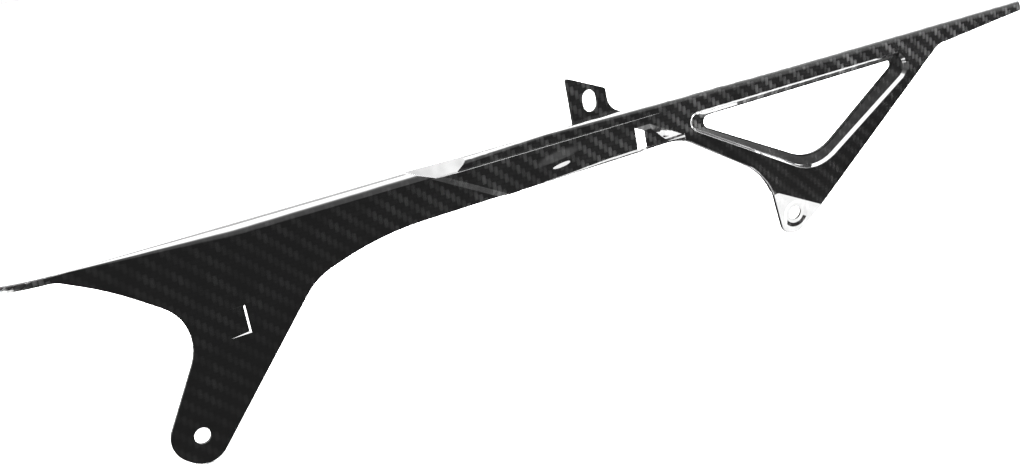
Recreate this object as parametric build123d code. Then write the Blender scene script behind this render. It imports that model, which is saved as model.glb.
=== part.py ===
"""Motorcycle chain guard: one moulded carbon laminate with an angle section.

Millimetres. +X runs along the guard towards its tapered end, +Y points inboard (to the chain)
and +Z is up. The origin is the centre of the leg's bolt hole, on the leg's outer face.
"""
from build123d import *
import math
import os

# Laminate and bolts
wall = 1.6               # laminate thickness
bolt_hole = 6.4          # clearance hole for the M6 bolts of leg and lug

# Top flange
tail_x = -54.0           # free end of the tail
tip_x = 441.0            # tapered end
top_z = 75.0             # crest of the guard above the leg hole
flange_depth = 24.0      # inboard reach of the flange
flange_fall = 10.0       # degrees, fall of the flange to its inboard edge
tail_depth = 15.0        # inboard reach at the tail
tip_depth = 7.0          # inboard reach at the tapered end
flange_r = 75.0          # plan corners where the flange starts to narrow
tip_drop = 2.0           # fall of the crest to the tapered end
tip_run = 16.0           # length of that fall
roll_r = 4.0             # rolled front edge of web and bar
web_roll_x = 30.0        # where the web's rolled edge has its full radius

# Tail, curved inboard
tail_start_x = -30.0     # where the tail leaves the straight run
tail_bend_r = 42.0       # plan radius of the tail
tail_roll_r = 0.5        # rolled front edge of the tail
tail_arc = 60.0          # degrees, turn of the tail before its end is cut
tail_low_z = 72.1        # lower edge of the tail strip
tail_corner_r = 2.4      # rounded end of the tail strip
tail_bevel = 1.3         # height of the slanted lower edge at the tail's end
tail_bevel_angle = 20.0  # degrees, lean of that edge
tail_strip_x = -34.7     # where the web's lower edge leaves the tail strip
web_angle = -26.5        # degrees, slope of the web's lower edge at the tail
web_bend_x = -18.3       # middle of its bend
web_bend_r = 120.0
web_leg_angle = -36.5    # degrees, slope of the web's lower edge at the leg

# Leg
leg_end_r = 10.7         # from the hole to the leg's end and rear edge
leg_front_reach = 11.7   # from the hole to the front edge
leg_corner_r = 9.9       # rounded end
leg_front_angle = 59.2   # degrees, edge on the tail side
leg_rear_angle = 47.1    # degrees, edge on the tip side
leg_front_r = 18.5       # inner corner to the web
leg_rear_r = 26.0        # corner to the sweep
sweep_x = 85.3           # middle of the long sweep into the lower edge
sweep_angle = 17.5       # degrees, rise of the sweep at the leg
sweep_r = 132.0
dimple_x = 27.4          # deep end of the dimple in the leg
dimple_length = 8.0      # run of its sloping floor
dimple_low_z = 32.6      # lower wall of the dimple
dimple_height = 11.2
dimple_deep = 0.6        # depth at the deep end
dimple_draft = 45.0      # degrees, lean of its walls

# Proud centre panel below the rail
step = 1.8               # how far panel, bar and struts stand proud of web and rail
panel_low_z = 55.6       # lower edge of the panel at the strut root
low_rise = 0.55          # degrees, rise of the lower edge from the leg to the root
ledge_z = 69.7           # top of the panel
crease_x = 116.0         # start of the crease at the ledge
crease_angle = -28.5     # degrees, run of the crease down the face
crease_run = 2.2         # width of the ramp along the crease
ledge_r = 0.15           # rounding of the ledge

# Rail above the ledge
rail_start_roll_r = 3.4  # rolled front edge at the rail's slanted end
rail_roll_r = 1.4        # rolled front edge at the rail's other end
rail_end_x = 165.0       # where the rail starts to run out to the bar's face
bar_start_x = 222.0      # where it reaches the bar's face
bar_roll_x = 300.0       # where the rolled edge has its full radius again
bar_start_roll_r = 2.6   # rolled edge at the start of the bar
dip_x = 99.8             # start of the dip in the web's top edge
dip_end_x = 115.2        # where the dip reaches its floor
dip_z = 68.9             # floor of the dip
facet_x = 123.0          # foot of the rail's slanted end, on the ledge
facet_top_x = 130.5      # head of the slanted end
facet_back_x = 112.0     # back corner of the slanted end
facet_back_y = 10.0
facet_back_z = 72.0

# Strut frame
root_x = 230.0           # where the front strut leaves the panel's lower edge
root_r = 20.0
front_angle = -33.0      # degrees, run of the front strut
rear_angle = 34.9        # degrees, run of the rear strut
front_mid = 38.8         # along the front strut from the root, where its face is measured
front_width = 7.1        # face of the front strut
rear_mid = 60.9          # along the rear strut from the lug, where its face is measured
rear_width = 8.4         # face of the rear strut
bar_low_z = 65.4         # lower edge of the bar's face over the window
tip_low_z = 67.6         # lower edge at the tapered end
bar_rise = 4.5           # degrees, rise of the lower edge behind the rear strut
bar_rear_r = 14.0        # corner between rear strut and bar
edge_r = 0.5             # rounded outer edges
rim_depth = 2.4          # return along the outer edges, from the face inboard
lip_depth = 2.3          # land around the window, from the face inboard

# Pocket pressed in at the root of the front strut, open at the lower edge
pocket_x = 206.8         # tail side of its rim
pocket_top_z = 66.4      # upper end of its rim
pocket_width = 7.8       # rim at the upper end
pocket_end_x = 231.5     # strut end of its rim
pocket_end_z = 57.2
pocket_slope = 5.5       # run of the sloping wall on the tail side
pocket_fall = 2.5        # run of the sloping wall at the top
pocket_floor_x = 223.6   # strut end of its floor
pocket_floor_z = 56.3

# Window corners: front end, foot, rear end
fold_radii = (4.5, 24.0, 7.0)
opening_radii = (2.9, 24.0, 2.0)
fold_r = 0.5             # rounding of the fold around the window
fold_step = 1.6          # steep drop from the fold
fold_lean = 1.3          # run of that drop
land = 0.6               # flat rim of the opening
fold_front_angle = -30.1     # degrees, run of the fold on the front strut
fold_rear_angle = 28.5       # degrees, run of the fold on the rear strut
opening_front_angle = -28.0  # degrees, run of the opening on the front strut
opening_rear_angle = 31.2    # degrees, run of the opening on the rear strut
return_top = 3.2         # from the fold to the opening
return_front = 4.5
return_rear = 6.7

# Lug at the foot of the struts
lug_x = 286.4
lug_z = 5.2
lug_front_angle = -76.4  # degrees, edge on the tail side
lug_front_reach = 8.4    # from hole to that edge
lug_rear_reach = 8.5     # from hole to the rear strut's edge
lug_r = 7.0              # rounded foot
lug_corner_r = 30.0      # corner to the front strut
bend_rise = 7.8          # bend line above the hole
bend_angle = -27.0       # degrees, run of the bend line
bend_turn = 10.0         # degrees, the lug leans inboard
seat_d = 9.8             # flat of the washer seat
seat_rim_d = 13.2        # rim of its sloping edge
seat_deep = 0.5

# Slotted tab on the flange
tab_x = 181.1            # tail side of the tab
tab_y = 4.0              # its outer face
tab_thick = 1.6
tab_width = 18.2
tab_top_z = 93.9         # corner on the tail side
tab_low_z = 85.7         # corner on the tip side
tab_flare = 7.0          # foot on the tip side
slot_x = 190.9
slot_z = 82.0
slot_width = 7.2
slot_length = 9.4

# Clear length of the cutting bodies beyond the guard, and the margin for finding an edge
over = 30.0
near = 0.01


def meet(p, p_angle, q, q_angle):
    """Crossing of two lines, each given by a point and an angle in degrees."""
    ux, uz = math.cos(math.radians(p_angle)), math.sin(math.radians(p_angle))
    vx, vz = math.cos(math.radians(q_angle)), math.sin(math.radians(q_angle))
    dx, dz = q[0] - p[0], q[1] - p[1]
    t = (dx * vz - dz * vx) / (ux * vz - uz * vx)
    return (p[0] + t * ux, p[1] + t * uz)


def beside(p, angle, distance):
    """Point at a distance to the left of a direction."""
    a = math.radians(angle)
    return (p[0] - distance * math.sin(a), p[1] + distance * math.cos(a))


def ahead(p, angle, distance):
    """Point at a distance along a direction."""
    a = math.radians(angle)
    return (p[0] + distance * math.cos(a), p[1] + distance * math.sin(a))


def side_face(corners):
    """Face in the side view from (x, z, radius) corners."""
    points = [(x, z) for x, z, r in corners]
    radii = [r for x, z, r in corners]
    return Plane.XZ * make_face(FilletPolyline(*points, radius=radii, close=True))


def prism(face, y0, y1):
    """Side-view face carried from y0 to y1."""
    return extrude(Pos(0, y0, 0) * face, amount=y1 - y0, dir=(0, 1, 0))


# Lines of the side view that several features share
leg_axis = (leg_front_angle + leg_rear_angle) / 2
leg_foot = ahead((0, 0), leg_axis, -leg_end_r)
leg_front_line = beside((0, 0), leg_front_angle, leg_front_reach)
leg_rear_line = beside((0, 0), leg_rear_angle, -leg_end_r)
lug_hole = (lug_x, lug_z)
lug_front_line = beside(lug_hole, lug_front_angle, -lug_front_reach)
rear_line = beside(lug_hole, rear_angle, -lug_rear_reach)
front_line = (root_x, panel_low_z)
crease_foot = meet((crease_x, ledge_z), crease_angle, (0, panel_low_z), 0)
face_y = -step
lip_y = face_y + lip_depth
tail_axis = Axis((tail_start_x, tail_bend_r, 0), (0, 0, -1))


def outline():
    """Side view of the guard, open above the crest."""
    above = top_z + over
    web_line = (tail_strip_x, tail_low_z)
    web_bend = meet(web_line, web_angle, (web_bend_x, 0), 90)
    sweep = meet(front_line, low_rise, (sweep_x, 0), 90)
    across = leg_axis + 90
    return side_face([
        (tail_x, above, 0),
        (tail_x, tail_low_z, tail_corner_r),
        (*web_line, leg_end_r),
        (*web_bend, web_bend_r),
        (*meet(web_bend, web_leg_angle, leg_front_line, leg_front_angle), leg_front_r),
        (*meet(leg_front_line, leg_front_angle, leg_foot, across), leg_corner_r),
        (*meet(leg_rear_line, leg_rear_angle, leg_foot, across), leg_corner_r),
        (*meet(leg_rear_line, leg_rear_angle, sweep, sweep_angle), leg_rear_r),
        (*sweep, sweep_r),
        (*front_line, root_r),
        (*meet(front_line, front_angle, lug_front_line, lug_front_angle), lug_corner_r),
        (*meet(lug_front_line, lug_front_angle, rear_line, rear_angle), lug_r),
        (*meet(rear_line, rear_angle, (tip_x, tip_low_z), bar_rise), bar_rear_r),
        (tip_x, tip_low_z, 0),
        (tip_x, top_z - tip_drop, 0),
        (tip_x - tip_run, top_z, 0),
        (tip_x - tip_run, above, 0),
    ])


def section(x, y, roll, low_z, inset):
    """Filled angle section at x, with its face at y; inset makes the hollow behind it."""
    back = flange_depth + over / 3 + inset * 2
    fall = (back - y) * math.tan(math.radians(flange_fall))
    corners = [
        (y + inset, low_z - inset),
        (y + inset, top_z - inset),
        (back, top_z - inset - fall),
        (back, low_z - inset - fall),
    ]
    radii = [0, max(roll - inset, wall / 8), 0, 0]
    return Plane.YZ.offset(x) * make_face(FilletPolyline(*corners, radius=radii, close=True))


def web_form(inset):
    """Filled form of the web with its tail, which turns inboard."""
    start = section(tail_start_x, 0, tail_roll_r, -over, inset)
    full = section(web_roll_x, 0, roll_r, -over, inset)
    run = loft([start, full], ruled=True) + extrude(full, amount=crease_foot[0] - web_roll_x, dir=(1, 0, 0))
    return run + revolve(start, axis=tail_axis, revolution_arc=tail_arc)


def rail_form(inset):
    """Filled form of the rail, which runs out to the bar's face."""
    low_z = (panel_low_z + ledge_z) / 2
    return loft([
        section(facet_back_x, 0, rail_start_roll_r, low_z, inset),
        section(rail_end_x, 0, rail_roll_r, low_z, inset),
        section(bar_start_x, face_y, bar_start_roll_r, low_z, inset),
    ], ruled=True)


def bar_form(inset):
    """Filled form of the bar's rolled edge and flange, on top of its face."""
    return loft([
        section(bar_start_x, face_y, bar_start_roll_r, bar_seam_z, inset),
        section(bar_roll_x, face_y, roll_r, bar_seam_z, inset),
        section(tip_x + over, face_y, roll_r, bar_seam_z, inset),
    ], ruled=True)


def crease_start(inset):
    """Point on the crease line; a ramp keeps its wall when the crease moves with the inset."""
    ramp_angle = math.degrees(math.atan2(step, crease_run))
    return beside((crease_x, ledge_z), crease_angle, inset * math.tan(math.radians(ramp_angle / 2)))


def face_zone(inset):
    """Side view of the proud face: panel below the ledge, then bar and struts."""
    start = crease_start(inset)
    ledge = ledge_z - inset
    low = -over
    low_panel = panel_low_z - over / 6
    return side_face([
        (*meet(start, crease_angle, (0, ledge), 0), 0),
        (bar_start_x, ledge, 0),
        (bar_start_x, bar_seam_z + wall / 4, 0),
        (tip_x + over, bar_seam_z + wall / 4, 0),
        (tip_x + over, low, 0),
        (root_x, low, 0),
        (root_x, low_panel, 0),
        (*meet(start, crease_angle, (0, low_panel), 0), 0),
    ])


def crease_ramp(inset):
    """Filled ramp from the web up to the panel, along the crease."""
    start = crease_start(inset)
    a = math.radians(crease_angle)
    across = Plane(origin=(start[0], 0, start[1]), x_dir=(-math.sin(a), 0, math.cos(a)),
                   z_dir=(math.cos(a), 0, math.sin(a)))
    foot = face_y + inset
    profile = Polyline((0, -foot), (-crease_run, -foot - step), (-crease_run, -foot - lip_depth),
                       (crease_run, -foot - lip_depth), (crease_run, -foot), close=True)
    ramp = extrude(across * make_face(profile), amount=over * 3, both=True)
    size = 8 * over
    below = Pos(0, 0, ledge_z - inset - size / 2) * Box(size * 2, size, size)
    return ramp & below


def window_face(front, rear, top_z_line, front_turn, rear_turn, radii):
    """Triangle between two strut lines and the bar, with rounded corners."""
    top = (0, top_z_line)
    corners = [
        meet(front, front_turn, top, 0),
        meet(front, front_turn, rear, rear_turn),
        meet(rear, rear_turn, top, 0),
    ]
    return side_face([(x, z, r) for (x, z), r in zip(corners, radii)])


def fold_lines(lean):
    """Points on the fold beside the front and the rear strut, moved into the window by a lean."""
    front = beside(ahead(front_line, front_angle, front_mid), front_angle, front_width)
    rear = beside(ahead(rear_line, rear_angle, rear_mid), rear_angle, rear_width)
    return beside(front, fold_front_angle, lean[0]), beside(rear, fold_rear_angle, lean[1])


def fold_face(grow):
    """Fold between the proud face and the window's returns."""
    front, rear = fold_lines((-grow, -grow))
    return window_face(front, rear, bar_low_z + grow, fold_front_angle, fold_rear_angle,
                       [r + grow for r in fold_radii])


def opening_face(grow):
    """Opening between bar and struts."""
    front, rear = fold_lines((return_front - grow, return_rear - grow))
    return window_face(front, rear, bar_low_z - return_top + grow,
                       opening_front_angle, opening_rear_angle, [r + grow for r in opening_radii])


def window(inset):
    """Window with a steep drop from the fold, a slope and a flat land; inset makes the wall behind it."""
    steep = math.atan2(fold_step, fold_lean)
    slope = math.atan2(lip_depth - fold_step, return_front - fold_lean - land)
    steep_ease = inset * math.tan(steep / 2)
    mouth_y = face_y + inset
    mouth = fold_face(steep_ease)
    foot = Pos(0, mouth_y + fold_step, 0) * fold_face(steep_ease - fold_lean)
    rim = Pos(0, lip_y + inset, 0) * opening_face(land + inset * math.tan(slope / 2))
    drop = loft([Pos(0, mouth_y, 0) * mouth, foot], ruled=True)
    returns = loft([foot, rim], ruled=True)
    through = prism(opening_face(0), lip_y, over * 2)
    return prism(mouth, mouth_y - over, mouth_y) + drop + returns + through


def plan():
    """Plan of the flange, narrowed to both ends."""
    points = [
        (tail_x, -over), (tail_x, tail_depth), (0, flange_depth),
        (bar_rear_x, flange_depth), (tip_x, tip_depth), (tip_x, -over),
    ]
    radii = [0, leg_end_r / 2, flange_r, flange_r, tip_depth / 4, 0]
    face = make_face(FilletPolyline(*points, radius=radii, close=True))
    return extrude(Pos(0, 0, -over) * face, amount=top_z + 2 * over, dir=(0, 0, 1))


def scoop(grow):
    """Dip in front of the rail's slanted end."""
    floor = side_face([
        (*meet((dip_x, top_z - grow), dip_angle, (0, top_z + over), 0), 0),
        (*meet((dip_x, top_z - grow), dip_angle, (0, dip_z - grow), 0), 0),
        (facet_top_x + over, dip_z - grow, 0),
        (facet_top_x + over, top_z + over, 0),
    ])
    dip = prism(floor, -over, facet_back_y + over)
    foot = Vector(facet_x, 0, ledge_z)
    head = Vector(facet_top_x, 0, top_z)
    back = Vector(facet_back_x, facet_back_y, facet_back_z)
    outward = (head - foot).cross(back - foot).normalized()
    facet = Plane(origin=foot - outward * grow, z_dir=outward)
    return dip & extrude(facet * Rectangle(8 * over, 8 * over), amount=4 * over)


def lug_pad(grow):
    """Plane of the lug's outer face, which leans inboard; its x runs along the bend line."""
    turn = math.radians(bend_turn)
    outward = Vector(math.sin(turn) * bend_down[0], -math.cos(turn), math.sin(turn) * bend_down[1])
    a = math.radians(bend_angle)
    return Plane(origin=Vector(bend_mid[0], face_y, bend_mid[1]) - outward * grow,
                 x_dir=(math.cos(a), 0, math.sin(a)), z_dir=outward)


def lug_cut(grow):
    """Space in front of the lug below its bend line."""
    return extrude(lug_pad(grow) * Pos(0, -over) * Rectangle(4 * over, 2 * over), amount=over)


def lug_bore():
    """Bolt hole of the lug with its washer seat, square to the lug's face."""
    a = math.radians(bend_angle)
    down = bend_rise * math.cos(a) / math.cos(math.radians(bend_turn))
    spot = lug_pad(0) * Pos(-bend_rise * math.sin(a), -down)
    seat = spot * Pos(0, 0, -seat_deep / 2) * Cone(seat_d / 2, seat_rim_d / 2, seat_deep)
    return seat + spot * Cylinder(bolt_hole / 2, over)


def lug_zone():
    """Side view of the lug below its bend line."""
    start = ahead(bend_mid, bend_angle, -over)
    end = ahead(bend_mid, bend_angle, over)
    return side_face([
        (*start, 0), (*end, 0),
        (*beside(end, bend_angle, -2 * over), 0), (*beside(start, bend_angle, -2 * over), 0),
    ])


def dimple(grow):
    """Shallow dimple in the leg with a sloping floor and drafted walls."""
    start_x = dimple_x - dimple_length
    floor = make_face(Polyline(
        (start_x - over, -over), (start_x - over, grow), (start_x, grow),
        (dimple_x, dimple_deep + grow), (dimple_x + over, dimple_deep + grow), (dimple_x + over, -over),
        close=True))
    wedge = extrude(floor, amount=2 * over, dir=(0, 0, 1))
    ease = 2 * grow * math.tan(math.radians(dimple_draft / 2))
    mouth = Plane(origin=(dimple_x - dimple_length / 2, grow, dimple_low_z + dimple_height / 2),
                  x_dir=(1, 0, 0), z_dir=(0, 1, 0))
    rim = mouth * Rectangle(dimple_length + ease, dimple_height + ease)
    block = extrude(rim, amount=dimple_length / 4, taper=dimple_draft) + extrude(rim, amount=-over)
    return wedge & block


def pocket(grow):
    """Pocket at the strut root, with its floor level with the web's face."""
    ease = grow * math.tan(math.atan2(step, pocket_slope) / 2)
    low_z = panel_low_z - over / 6
    rim_x = pocket_x + pocket_width
    floor_x = pocket_x + pocket_slope
    floor_z = pocket_top_z - pocket_fall
    rim = side_face([
        (pocket_x, pocket_top_z, 0), (rim_x, pocket_top_z, 0),
        (pocket_end_x, pocket_end_z, 0), (pocket_end_x, low_z, 0), (pocket_x, low_z, 0),
    ])
    floor = side_face([
        (floor_x, floor_z, 0), (rim_x + pocket_fall / 2, floor_z, 0),
        (pocket_floor_x, pocket_floor_z, 0), (pocket_floor_x, low_z, 0), (floor_x, low_z, 0),
    ])
    if ease:
        rim = offset(rim, amount=ease, kind=Kind.INTERSECTION)
        floor = offset(floor, amount=ease, kind=Kind.INTERSECTION)
    mouth = face_y + grow
    walls = loft([Pos(0, mouth, 0) * rim, Pos(0, mouth + step, 0) * floor], ruled=True)
    return walls + prism(rim, mouth - over, mouth)


def tail_cut():
    """Slanted lower edge of the tail, which follows its curve and widens to its end."""
    lean = math.radians(tail_bevel_angle)
    run_in = math.asin((tail_start_x - tail_strip_x) / tail_bend_r)
    low = tail_low_z - over * math.cos(lean)
    outside = make_face(Polyline((0, tail_low_z), (over * math.sin(lean), low), (-over, low),
                                 (-over, tail_low_z), close=True))
    start = (Plane.YZ.offset(tail_start_x) * outside).rotate(tail_axis, math.degrees(run_in))
    inward = Vector(math.sin(run_in), math.cos(run_in), 0)
    hinge = Vector(tail_start_x, tail_bend_r, tail_low_z) - inward * tail_bend_r
    widening = math.degrees(math.atan2(tail_bevel, tail_strip_x - tail_x))
    return revolve(start, axis=tail_axis, revolution_arc=tail_arc).rotate(Axis(hinge, inward), widening)


def tab():
    """Upright tab with a slot, standing on the flange."""
    foot_z = top_z - wall
    end_x = tab_x + tab_width
    face = side_face([
        (tab_x, foot_z, 0), (tab_x, tab_top_z, tab_thick / 2), (end_x, tab_low_z, tab_thick),
        (end_x, foot_z + tab_flare / 2, tab_flare), (end_x + tab_flare, foot_z, 0),
    ])
    plate = prism(face, tab_y, tab_y + tab_thick)
    slot = Plane.XZ * Pos(slot_x, slot_z) * Rot(0, 0, 90) * SlotOverall(slot_length, slot_width)
    return plate - prism(slot, -over, over)


def in_face(edge):
    """True for an edge that lies in the proud face."""
    box = edge.bounding_box()
    return abs(box.min.Y - face_y) < near and abs(box.max.Y - face_y) < near


def follows(edge, face):
    """True for an edge that lies on the border of a side-view face."""
    middle = edge.position_at(0.5)
    spot = Vertex(middle.X, 0, middle.Z)
    return min(border.distance_to(spot) for border in face.edges()) < near


bar_rear_x = meet(rear_line, rear_angle, (tip_x, tip_low_z), bar_rise)[0]
roll_reach = roll_r / math.tan(math.radians((90 - flange_fall) / 2))
bar_seam_z = top_z - roll_reach - wall / 8
dip_angle = math.degrees(math.atan2(dip_z - top_z, dip_end_x - dip_x))
bend_mid = (lug_x, lug_z + bend_rise)
bend_down = beside((0, 0), bend_angle, -1)

side = outline()
inner_side = offset(side, amount=-wall)
side_prism = prism(side, -over, 2 * over)
inner_prism = prism(inner_side, -over, 3 * over)

# Proud face with its return lips, and the lug below it
slab = prism(side & face_zone(0), face_y, face_y + rim_depth)
slab = slab + prism(fold_face(2 * wall), face_y, lip_y + wall) - window(0)
lower_edges = [e for e in slab.edges() if in_face(e) and follows(e, side) and e.center().X < tip_x - wall]
slab = fillet(lower_edges, edge_r)
fold = fold_face(0)
slab = fillet([e for e in slab.edges() if in_face(e) and follows(e, fold)], fold_r)
slab = fillet([e for e in slab.edges() if in_face(e) and abs(e.center().Z - ledge_z) < near], ledge_r)
slab = slab + prism(side & lug_zone(), face_y + edge_r, lip_y + lip_depth + wall)
slab_hollow = prism((inner_side + lug_zone()) & face_zone(wall), face_y + wall, over) - window(wall)

# Rolled edge and flange
crown = (web_form(0) + rail_form(0) + bar_form(0)) & side_prism & plan()
crown = crown - scoop(0) - tail_cut()
crown_hollow = web_form(wall) + rail_form(wall) + (bar_form(wall) & inner_prism) - scoop(wall)

# One shell, with the pressed-in features cut from the outside and left standing inside
ramp = crease_ramp(0) & side_prism
outer = crown + slab + ramp - lug_cut(0) - dimple(0) - pocket(0)
hollow = crown_hollow + slab_hollow + crease_ramp(wall) - lug_cut(wall) - dimple(wall) - pocket(wall)
guard = outer - hollow + tab()
guard = guard - lug_bore() - Rot(90, 0, 0) * Cylinder(bolt_hole / 2, over)

os.makedirs("parts", exist_ok=True)
export_step(guard.solids()[0], "parts/chain_guard.step")
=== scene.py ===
"""Carbon motorcycle chain guard in a bright studio: camera, light, clear-coated twill."""
import bpy
import math
from mathutils import Matrix, Vector


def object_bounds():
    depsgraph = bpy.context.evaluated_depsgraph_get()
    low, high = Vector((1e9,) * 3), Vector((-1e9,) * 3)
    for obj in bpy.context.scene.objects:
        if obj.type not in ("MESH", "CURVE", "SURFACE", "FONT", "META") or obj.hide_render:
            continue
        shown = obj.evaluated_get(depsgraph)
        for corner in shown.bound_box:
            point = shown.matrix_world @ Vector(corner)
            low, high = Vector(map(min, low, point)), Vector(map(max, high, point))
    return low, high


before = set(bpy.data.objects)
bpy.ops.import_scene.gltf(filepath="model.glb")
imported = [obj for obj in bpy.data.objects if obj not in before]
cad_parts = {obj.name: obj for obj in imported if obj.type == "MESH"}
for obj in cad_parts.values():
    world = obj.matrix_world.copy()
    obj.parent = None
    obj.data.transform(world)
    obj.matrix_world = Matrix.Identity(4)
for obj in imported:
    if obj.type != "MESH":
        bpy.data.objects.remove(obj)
cad_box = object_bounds()

# Axes of the frame: X along the guard, Y inboard to the chain, Z up
X, Y, Z = Vector((1, 0, 0)), Vector((0, 1, 0)), Vector((0, 0, 1))

# Camera, in metres and degrees: the photograph's place, aim, roll and focal length
CAMERA_AT = Vector((-0.07071, -0.45522, 0.17331))
CAMERA_AIM = Vector((0.14157, 0.0, 0.03872))
CAMERA_ROLL = -11.03
CAMERA_CLIP = (0.01, 100.0)
IMAGE_WIDTH = 1024
FOCAL_PIXELS = 1260
SENSOR_MM = 36.0

# Stage, in metres: the floor, and bright cards that lie just above it
FLOOR_SIZE = 30.0
FLOOR_GAP = 0.0005           # from the guard's lowest point down to the floor, and to the cards
CARD_GAP = 0.0003
FLOOR_COLOUR = (0.9, 0.9, 0.9, 1)
CARDS = (
    # x and y of the middle, width, depth
    (0.299, -0.0245, 0.042, 0.034),   # before the lug
    (0.2295, -0.058, 0.069, 0.036),   # before panel and pocket
)
CARD_LIGHT = 7.5
BACKDROP = 1.0               # what the camera sees behind the guard

# Surround, as radiance where white is 1; bearings go from -Y to +X, heights up from level, in degrees
TENT = 0.9                   # cloth all round
TENT_BACK = 2.5              # cloth behind
TENT_LOW = 4.0               # lit table behind and below the guard
UNDER = 0.45                 # straight below it
BEHIND = (-0.2, 0.25)        # share of a direction along +Y over which front turns into back
TABLE = (0, -50)             # heights over which the cloth turns into the table
OPEN_SIDE = (-10, -8)        # middle of the tent's open side, which the flat faces mirror
OPEN_FADE = (56.0, 78.0)     # angles from there at which the dark starts to fade and ends
OPEN_DARK = 0.11
OPEN_SKY = (
    # height from, height to, gain in radiance
    (-8, 6, 0.4),
    (22, 50, 1.0),
    (42, 75, 4.0),
)
STRIP_DARK = 0.12            # strip of dark cloth behind, which the chain side mirrors
STRIP_SIDE = (0.28, 0.5)     # share of a direction along +Y over which it fades in
STRIP_TOP = (-7, -13)        # heights over which it fades in, at its top and at its foot
STRIP_FOOT = (-44, -36)
SOFTBOXES = (
    # bearing, height, inner and outer radius, radiance
    (20, 78, 16, 40, 9.0),       # overhead
    (100, 35, 18, 36, 10.0),     # behind to the right
    (76, -13, 11, 16, 25.0),     # strip to the right
    (70, -28, 6, 10, 90.0),      # lamp to the right, which brings up the weave
    (-90, -50, 16, 22, 4.5),     # card to the left
    (-89, -19, 13, 17, 22.0),    # lamp to the left, for the tail and the dimple
)

# Twill: tow width in metres; a tow passes over two and under two
TOW = 0.002
REPEAT = 4
FLOAT = 2
WARP_TONE = 0.036            # tows square to the guard
WEFT_TONE = 0.008            # tows along it
ROUGHNESS = 0.45
SHADE_CROWN = 0.35           # powers by which the tone falls off across a tow and along a float
SHADE_ARCH = 0.25
TOW_CROWN = 0.4              # power by which a tow's height falls off across it
TOW_ARCH = 0.7               # share of its height that it loses at a float's ends
TOW_HEIGHT = 0.0002
TOW_RELIEF = 0.15            # how much of that height shows through the resin
TOW_STEP = 7.13              # steps that number the floats: from tow to tow, and along a tow
TURN_STEP = 3.71
FLOAT_SHADE = (0.5, 1.0)     # each float has its own share of the tone
PATCHES = 60.0               # unevenness of the cloth's tone, per metre
PATCH_DETAIL = 2.0
PATCH_NOISE = (0.38, 0.62)   # noise over which the tone goes from one share to the other
PATCH_SHADE = (0.5, 1.0)

# Painted light on the cloth: a gain on its tone that brightens the weave where the light falls, and where
# along the guard, in metres
CLOTH_GAIN = 1.3
RAIL_GAIN = 3.0              # further on the rail's outer face, and further still on the bar
RAIL_X = (0.06, 0.16)
BAR_GAIN = 2.0
BAR_X = (0.205, 0.25)
BAR_Z = (0.050, 0.060)       # heights over which the struts turn into the bar
STRUT_GAIN = 1.7
STRUT_X = (0.205, 0.235)
TIP_SHARE = 0.65             # what is left of rail's and bar's gain at the tapered tip
TIP_X = (0.33, 0.42)
TAIL_GAIN = 14.0             # further on the tail
TAIL_X = (-0.030, -0.044)
OUTER = (0.0, 0.4)           # share of the normal along -Y over which a face turns outward

# Raw cut edges, and rolled upper edges, which get a painted shade: one flat darker tone in place of the
# weave
CUT_TONE = 0.004
CUT_FACING = 0.19            # a cut edge's normal has less than this along Y
LEVEL_FACING = 0.8           # a level face's normal has more than this along Z
FLANGE_Z = (0.066, 0.0765)   # heights between which a level face belongs to the flange
# painted shade: flat tone of the rolled upper edges, darker than the weave
FOLD_SHADE_TONE = 0.004
FOLD_STARTS = (0.15, 0.45)   # share of the normal along Z over which a fold starts, and over which it ends
FOLD_ENDS = (0.97, 0.90)

# Clear coat, in metres
COAT_IOR = 2.0
COAT_ROUGHNESS = 0.02
RIPPLES = 110.0              # its unevenness, per metre
RIPPLE_DETAIL = 1.0
RIPPLE_HEIGHT = 0.0002
EDGE_Z = 0.05339             # the panel's lower edge: height at x = 0, and rise along the guard
EDGE_RISE = 0.0096
ROLL_X = (0.160, 0.20)       # where the coat starts to roll over that edge, and where the roll is full
ROLL_WIDTH = (0.0010, 0.0030)   # its width at both
ROLL_STOP = 0.2315           # where the pocket ends it
ROLL_DROP = 0.3              # as a share of its width
SPOT_AT = (0.1685, 0.0622)   # uneven spot on the panel: x and z of its middle
SPOT_HALF = (0.0090, 0.0027)    # half its length and half its height
SPOT_LEAN = 0.35             # it leans with the rail's slow rise
SPOT_RISE = 0.00100


def direction(bearing, height):
    """Unit vector from a bearing (0 is -Y, 90 is +X) and a height in degrees."""
    b, h = math.radians(bearing), math.radians(height)
    return Vector((math.sin(b) * math.cos(h), -math.cos(b) * math.cos(h), math.sin(h)))


def sine(degrees):
    return math.sin(math.radians(degrees))


def cosine(degrees):
    return math.cos(math.radians(degrees))


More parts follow.
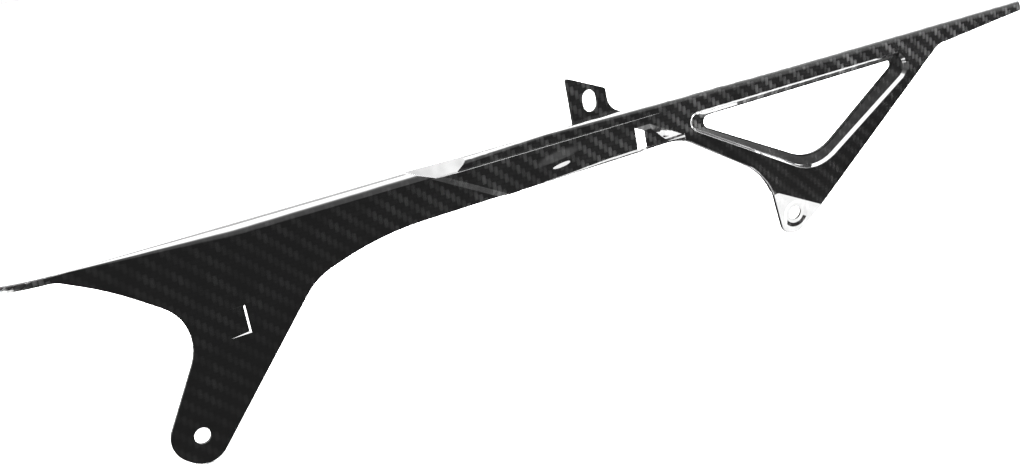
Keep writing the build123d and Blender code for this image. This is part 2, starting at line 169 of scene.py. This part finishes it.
class Graph:
    """Short ways to add shader nodes to one node tree."""

    def __init__(self, tree):
        self.tree = tree
        tree.nodes.clear()

    def add(self, kind, **inputs):
        node = self.tree.nodes.new(kind)
        for name, value in inputs.items():
            self.put(node.inputs[name.replace("_", " ")], value)
        return node

    def put(self, socket, value):
        if isinstance(value, bpy.types.NodeSocket):
            self.tree.links.new(value, socket)
        else:
            socket.default_value = value

    def show(self, shader, output="ShaderNodeOutputMaterial"):
        """Link a shader to the tree's output."""
        self.tree.links.new(shader.outputs[0], self.add(output).inputs[0])

    def math(self, operation, *values):
        node = self.tree.nodes.new("ShaderNodeMath")
        node.operation = operation
        for socket, value in zip(node.inputs, values):
            self.put(socket, value)
        return node.outputs[0]

    def times(self, first, *others):
        for value in others:
            first = self.math("MULTIPLY", first, value)
        return first

    def rest(self, value):
        """What is left of 1."""
        return self.math("SUBTRACT", 1.0, value)

    def dot(self, a, b):
        node = self.tree.nodes.new("ShaderNodeVectorMath")
        node.operation = "DOT_PRODUCT"
        self.put(node.inputs[0], a)
        self.put(node.inputs[1], b)
        return node.outputs["Value"]

    def ramp(self, value, start, end, low=0.0, high=1.0):
        """Smooth step from low at start to high at end."""
        node = self.tree.nodes.new("ShaderNodeMapRange")
        node.interpolation_type = "SMOOTHSTEP"
        if start > end:
            start, end, low, high = end, start, high, low
        for name, v in (("Value", value), ("From Min", start), ("From Max", end),
                        ("To Min", low), ("To Max", high)):
            self.put(node.inputs[name], v)
        return node.outputs["Result"]

    def mix(self, factor, a, b):
        """Linear blend of two values."""
        return self.math("ADD", a, self.math("MULTIPLY", factor, self.math("SUBTRACT", b, a)))

    def chance(self, number, low, high):
        """A random value between low and high for each number."""
        node = self.tree.nodes.new("ShaderNodeTexWhiteNoise")
        node.noise_dimensions = "1D"
        self.put(node.inputs["W"], number)
        return self.mix(node.outputs["Value"], low, high)

    def noise(self, place, scale, detail):
        return self.add("ShaderNodeTexNoise", Vector=place, Scale=scale, Detail=detail).outputs["Fac"]

    def disc(self, ray, bearing, height, inner, outer):
        """1 within the inner angle of a direction, 0 beyond the outer one."""
        return self.ramp(self.dot(ray, direction(bearing, height)), cosine(outer), cosine(inner))


def new_material(name):
    material = bpy.data.materials.new(name)
    material.use_nodes = True
    return material, Graph(material.node_tree)


def make_camera():
    data = bpy.data.cameras.new("camera")
    data.sensor_width = SENSOR_MM
    data.lens = SENSOR_MM * FOCAL_PIXELS / IMAGE_WIDTH
    data.clip_start, data.clip_end = CAMERA_CLIP
    camera = bpy.data.objects.new("camera", data)
    bpy.context.scene.collection.objects.link(camera)
    forward = (CAMERA_AIM - CAMERA_AT).normalized()
    right = forward.cross(Z).normalized()
    up = right.cross(forward)
    turned_right = right * cosine(CAMERA_ROLL) + up * sine(CAMERA_ROLL)
    turned_up = up * cosine(CAMERA_ROLL) - right * sine(CAMERA_ROLL)
    rotation = Matrix((turned_right, turned_up, -forward)).transposed()
    camera.matrix_world = Matrix.Translation(CAMERA_AT) @ rotation.to_4x4()
    bpy.context.scene.camera = camera


def make_surround():
    """Light tent with an open dark side, a dark strip behind, and softboxes."""
    world = bpy.data.worlds.new("surround")
    bpy.context.scene.world = world
    world.use_nodes = True
    g = Graph(world.node_tree)
    ray = g.add("ShaderNodeTexCoord").outputs["Generated"]
    height, back = g.dot(ray, Z), g.dot(ray, Y)

    def climb(start, end, gain=1.0):
        """0 at one height and gain at another, in degrees."""
        return g.ramp(height, sine(start), sine(end), 0.0, gain)

    behind = g.ramp(back, *BEHIND)
    light = g.mix(climb(*TABLE), g.mix(behind, TENT, TENT_BACK), g.mix(behind, UNDER, TENT_LOW))
    sky = OPEN_DARK
    for start, end, gain in OPEN_SKY:
        sky = g.math("ADD", sky, climb(start, end, gain))
    light = g.mix(g.disc(ray, *OPEN_SIDE, *OPEN_FADE), light, sky)
    strip = g.times(g.ramp(back, *STRIP_SIDE), climb(*STRIP_TOP), climb(*STRIP_FOOT))
    light = g.mix(strip, light, STRIP_DARK)
    for *disc, radiance in SOFTBOXES:
        light = g.math("ADD", light, g.times(g.disc(ray, *disc), radiance))
    seen = g.add("ShaderNodeLightPath").outputs["Is Camera Ray"]
    strength = g.mix(seen, light, BACKDROP)
    g.show(g.add("ShaderNodeBackground", Color=(1, 1, 1, 1), Strength=strength), "ShaderNodeOutputWorld")


def make_floor():
    """Pale floor, kept out of the guard's reflections."""
    material, g = new_material("floor")
    g.show(g.add("ShaderNodeBsdfDiffuse", Color=FLOOR_COLOUR))
    bpy.ops.mesh.primitive_plane_add(size=FLOOR_SIZE, location=(0, 0, cad_box[0].z - FLOOR_GAP))
    floor = bpy.context.object
    floor.name = "floor"
    floor.data.materials.append(material)
    floor.visible_glossy = False
    floor.visible_diffuse = False


def make_cards():
    """Bright cards that lie on the floor and show only as reflections."""
    material, g = new_material("card")
    g.show(g.add("ShaderNodeEmission", Strength=CARD_LIGHT))
    for x, y, width, depth in CARDS:
        bpy.ops.mesh.primitive_plane_add(size=1, location=(x, y, cad_box[0].z - CARD_GAP))
        card = bpy.context.object
        card.name = "card"
        card.scale = (width, depth, 1)
        card.data.materials.append(material)
        card.visible_camera = False
        card.visible_shadow = False


def cut_edge(g):
    """1 on the laminate's raw cut edges, which stand square to its faces."""
    geometry = g.add("ShaderNodeNewGeometry")
    normal = geometry.outputs["True Normal"]
    height = g.dot(geometry.outputs["Position"], Z)
    square = g.math("LESS_THAN", g.math("ABSOLUTE", g.dot(normal, Y)), CUT_FACING)
    level = g.math("GREATER_THAN", g.math("ABSOLUTE", g.dot(normal, Z)), LEVEL_FACING)
    low, high = FLANGE_Z
    flange = g.times(level, g.math("GREATER_THAN", height, low), g.math("LESS_THAN", height, high))
    return g.times(square, g.rest(flange))


def upper_fold(g):
    """Mask of the painted shade: 1 on the rolled upper edges, which lean between the upright faces and the
    level flange.
    """
    lean = g.dot(g.add("ShaderNodeNewGeometry").outputs["Normal"], Z)
    return g.times(g.ramp(lean, *FOLD_STARTS), g.ramp(lean, *FOLD_ENDS))


def painted_light_gain(g, place):
    """Painted light: gain on the cloth's tone, plain on leg and chain side, brighter on the outer face of
    rail and tail, where the light falls.
    """
    x, z = g.dot(place, X), g.dot(place, Z)
    high = g.ramp(z, *BAR_Z)
    rail = g.times(g.ramp(x, *RAIL_X), RAIL_GAIN)
    bar = g.times(g.ramp(x, *BAR_X), high, BAR_GAIN)
    struts = g.times(g.ramp(x, *STRUT_X), g.rest(high))
    tip = g.ramp(x, *TIP_X, 1.0, TIP_SHARE)
    tail = g.times(g.ramp(x, *TAIL_X), TAIL_GAIN)
    normal = g.add("ShaderNodeNewGeometry").outputs["True Normal"]
    outer = g.ramp(g.dot(normal, -Y), *OUTER)
    gain = g.math("ADD", g.times(g.math("ADD", rail, bar), tip), tail)
    return g.mix(struts, g.math("ADD", CLOTH_GAIN, g.times(gain, outer)), STRUT_GAIN)


def twill(g, place):
    """Tone of a 2x2 twill, whose tows run along the guard and square to it, and its height from 0 to 1."""
    u, v = g.dot(place, X / TOW), g.dot(place, (Y + Z) / TOW)
    column, row = g.math("FLOOR", u), g.math("FLOOR", v)
    phase = g.math("FLOORED_MODULO", g.math("ADD", column, row), REPEAT)
    warp = g.math("LESS_THAN", phase, FLOAT - 0.5)
    # Place along the float of the tow on top, and across its width, 0 to 1
    run_warp, run_weft = g.math("ADD", v, column), g.math("ADD", u, row)
    part_warp = g.math("DIVIDE", g.math("FLOORED_MODULO", run_warp, REPEAT), FLOAT)
    part_weft = g.math("DIVIDE", g.math("FLOORED_MODULO", run_weft, REPEAT), FLOAT)
    along = g.mix(warp, g.math("SUBTRACT", part_weft, 1), part_warp)
    across = g.mix(warp, g.math("FRACT", v), g.math("FRACT", u))
    crown, arch = (g.math("SINE", g.times(part, math.pi)) for part in (across, along))
    height = g.times(g.math("POWER", crown, TOW_CROWN), g.mix(TOW_ARCH, 1.0, arch))
    shade = g.times(g.math("POWER", crown, SHADE_CROWN), g.math("POWER", arch, SHADE_ARCH))
    # No two floats of a tow lie quite alike, and the resin over them is uneven
    turn_warp, turn_weft = (g.math("FLOOR", g.math("DIVIDE", run, REPEAT)) for run in (run_warp, run_weft))
    tow, turn = g.mix(warp, row, column), g.mix(warp, turn_weft, turn_warp)
    number = g.math("ADD", g.times(tow, TOW_STEP), g.times(turn, TURN_STEP))
    patches = g.ramp(g.noise(place, PATCHES, PATCH_DETAIL), *PATCH_NOISE, *PATCH_SHADE)
    shade = g.times(shade, g.chance(number, *FLOAT_SHADE), patches)
    return g.times(shade, g.mix(warp, WEFT_TONE, WARP_TONE)), height


def coat_height(g, place):
    """Height of the clear coat: it ripples, rolls over the panel's lower edge and bulges at one spot."""
    x, z = g.dot(place, X), g.dot(place, Z)
    ripple = g.times(g.noise(place, RIPPLES, RIPPLE_DETAIL), RIPPLE_HEIGHT)
    width = g.ramp(x, *ROLL_X, *ROLL_WIDTH)
    above = g.math("SUBTRACT", z, g.math("ADD", EDGE_Z, g.times(x, EDGE_RISE)))
    near = g.math("MAXIMUM", 0.0, g.rest(g.math("DIVIDE", above, width)))
    near = g.times(near, g.math("LESS_THAN", x, ROLL_STOP), g.math("GREATER_THAN", x, ROLL_X[0]))
    drop = g.times(near, near, width, ROLL_DROP)
    along, across = (g.math("DIVIDE", g.math("SUBTRACT", value, middle), half)
                     for value, middle, half in zip((x, z), SPOT_AT, SPOT_HALF))
    across = g.math("SUBTRACT", across, g.times(along, SPOT_LEAN))
    far = g.math("ADD", g.times(along, along), g.times(across, across))
    bulge = g.times(g.math("EXPONENT", g.times(far, -1.0)), SPOT_RISE)
    return g.math("ADD", ripple, g.math("SUBTRACT", bulge, drop))


def laminate_material():
    """Clear-coated twill with painted light on its tone, a flat painted shade in place of the weave on the
    rolled upper edges, and bare on the cut ones.
    """
    material, g = new_material("laminate")
    place = g.add("ShaderNodeTexCoord").outputs["Object"]
    weave, height = twill(g, place)
    cut = cut_edge(g)
    # Painted light: the gain brightens the weave where the light falls, and the rolled upper edges take a
    # flat painted shade
    tone = g.times(painted_light_gain(g, place), g.mix(upper_fold(g), weave, FOLD_SHADE_TONE))
    tone = g.mix(cut, tone, CUT_TONE)
    colour = g.add("ShaderNodeCombineColor", Red=tone, Green=tone, Blue=tone).outputs[0]
    tows = g.add("ShaderNodeBump", Strength=TOW_RELIEF, Distance=TOW_HEIGHT, Height=height)
    # The coat's height is in metres, so its bump takes it as it is
    skin = g.add("ShaderNodeBump", Strength=1.0, Distance=1.0, Height=coat_height(g, place))
    shader = g.add("ShaderNodeBsdfPrincipled", Base_Color=colour, Normal=tows.outputs[0],
                   Coat_Weight=g.rest(cut), Coat_Normal=skin.outputs[0])
    shader.inputs["Metallic"].default_value = 1.0
    shader.inputs["Roughness"].default_value = ROUGHNESS
    shader.inputs["Coat Roughness"].default_value = COAT_ROUGHNESS
    shader.inputs["Coat IOR"].default_value = COAT_IOR
    g.show(shader)
    return material


make_camera()
make_surround()
make_floor()
make_cards()
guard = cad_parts["chain_guard"]
guard.data.materials.clear()
guard.data.materials.append(laminate_material())
bpy.context.scene.view_settings.view_transform = "Standard"
